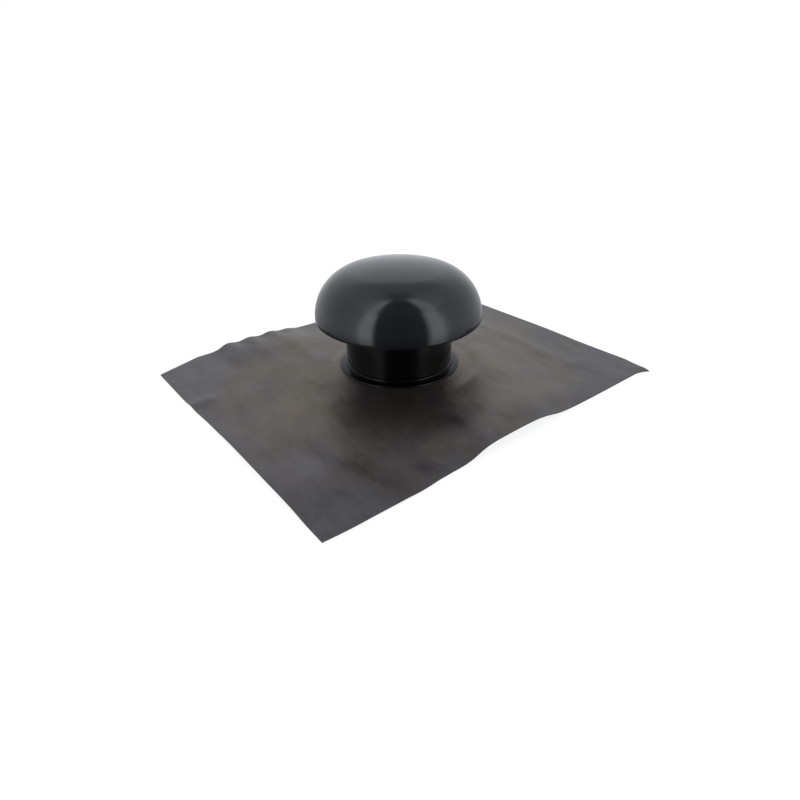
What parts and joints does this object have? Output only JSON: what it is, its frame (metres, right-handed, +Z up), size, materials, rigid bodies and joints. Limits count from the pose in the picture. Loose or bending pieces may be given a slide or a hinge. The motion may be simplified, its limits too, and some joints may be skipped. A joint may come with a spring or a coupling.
{
  "type": "roof vent cap",
  "caption": "Domed rain hood on a flanged duct sleeve, with a soft rectangular flashing sheet bonded under the flange to seal a roof penetration.",
  "frame": {"origin": "middle of the sleeve's lower mouth, on the ground plane", "axes": "+Z up along the duct, towards the hood; +X along the flashing sheet's longer side; +Y along its shorter side"},
  "size_m": [0.4832, 0.4031, 0.1378],
  "materials": {
    "hood_plastic": "satin moulded, slate grey",
    "sleeve_plastic": "gloss moulded, black",
    "sheet_membrane": "semi-matte flexible membrane, dark warm grey"
  },
  "bodies": {
    "root": {"hood": "hood_plastic", "sleeve": "sleeve_plastic", "flashing_sheet": "sheet_membrane"}
  },
  "joints": []
}
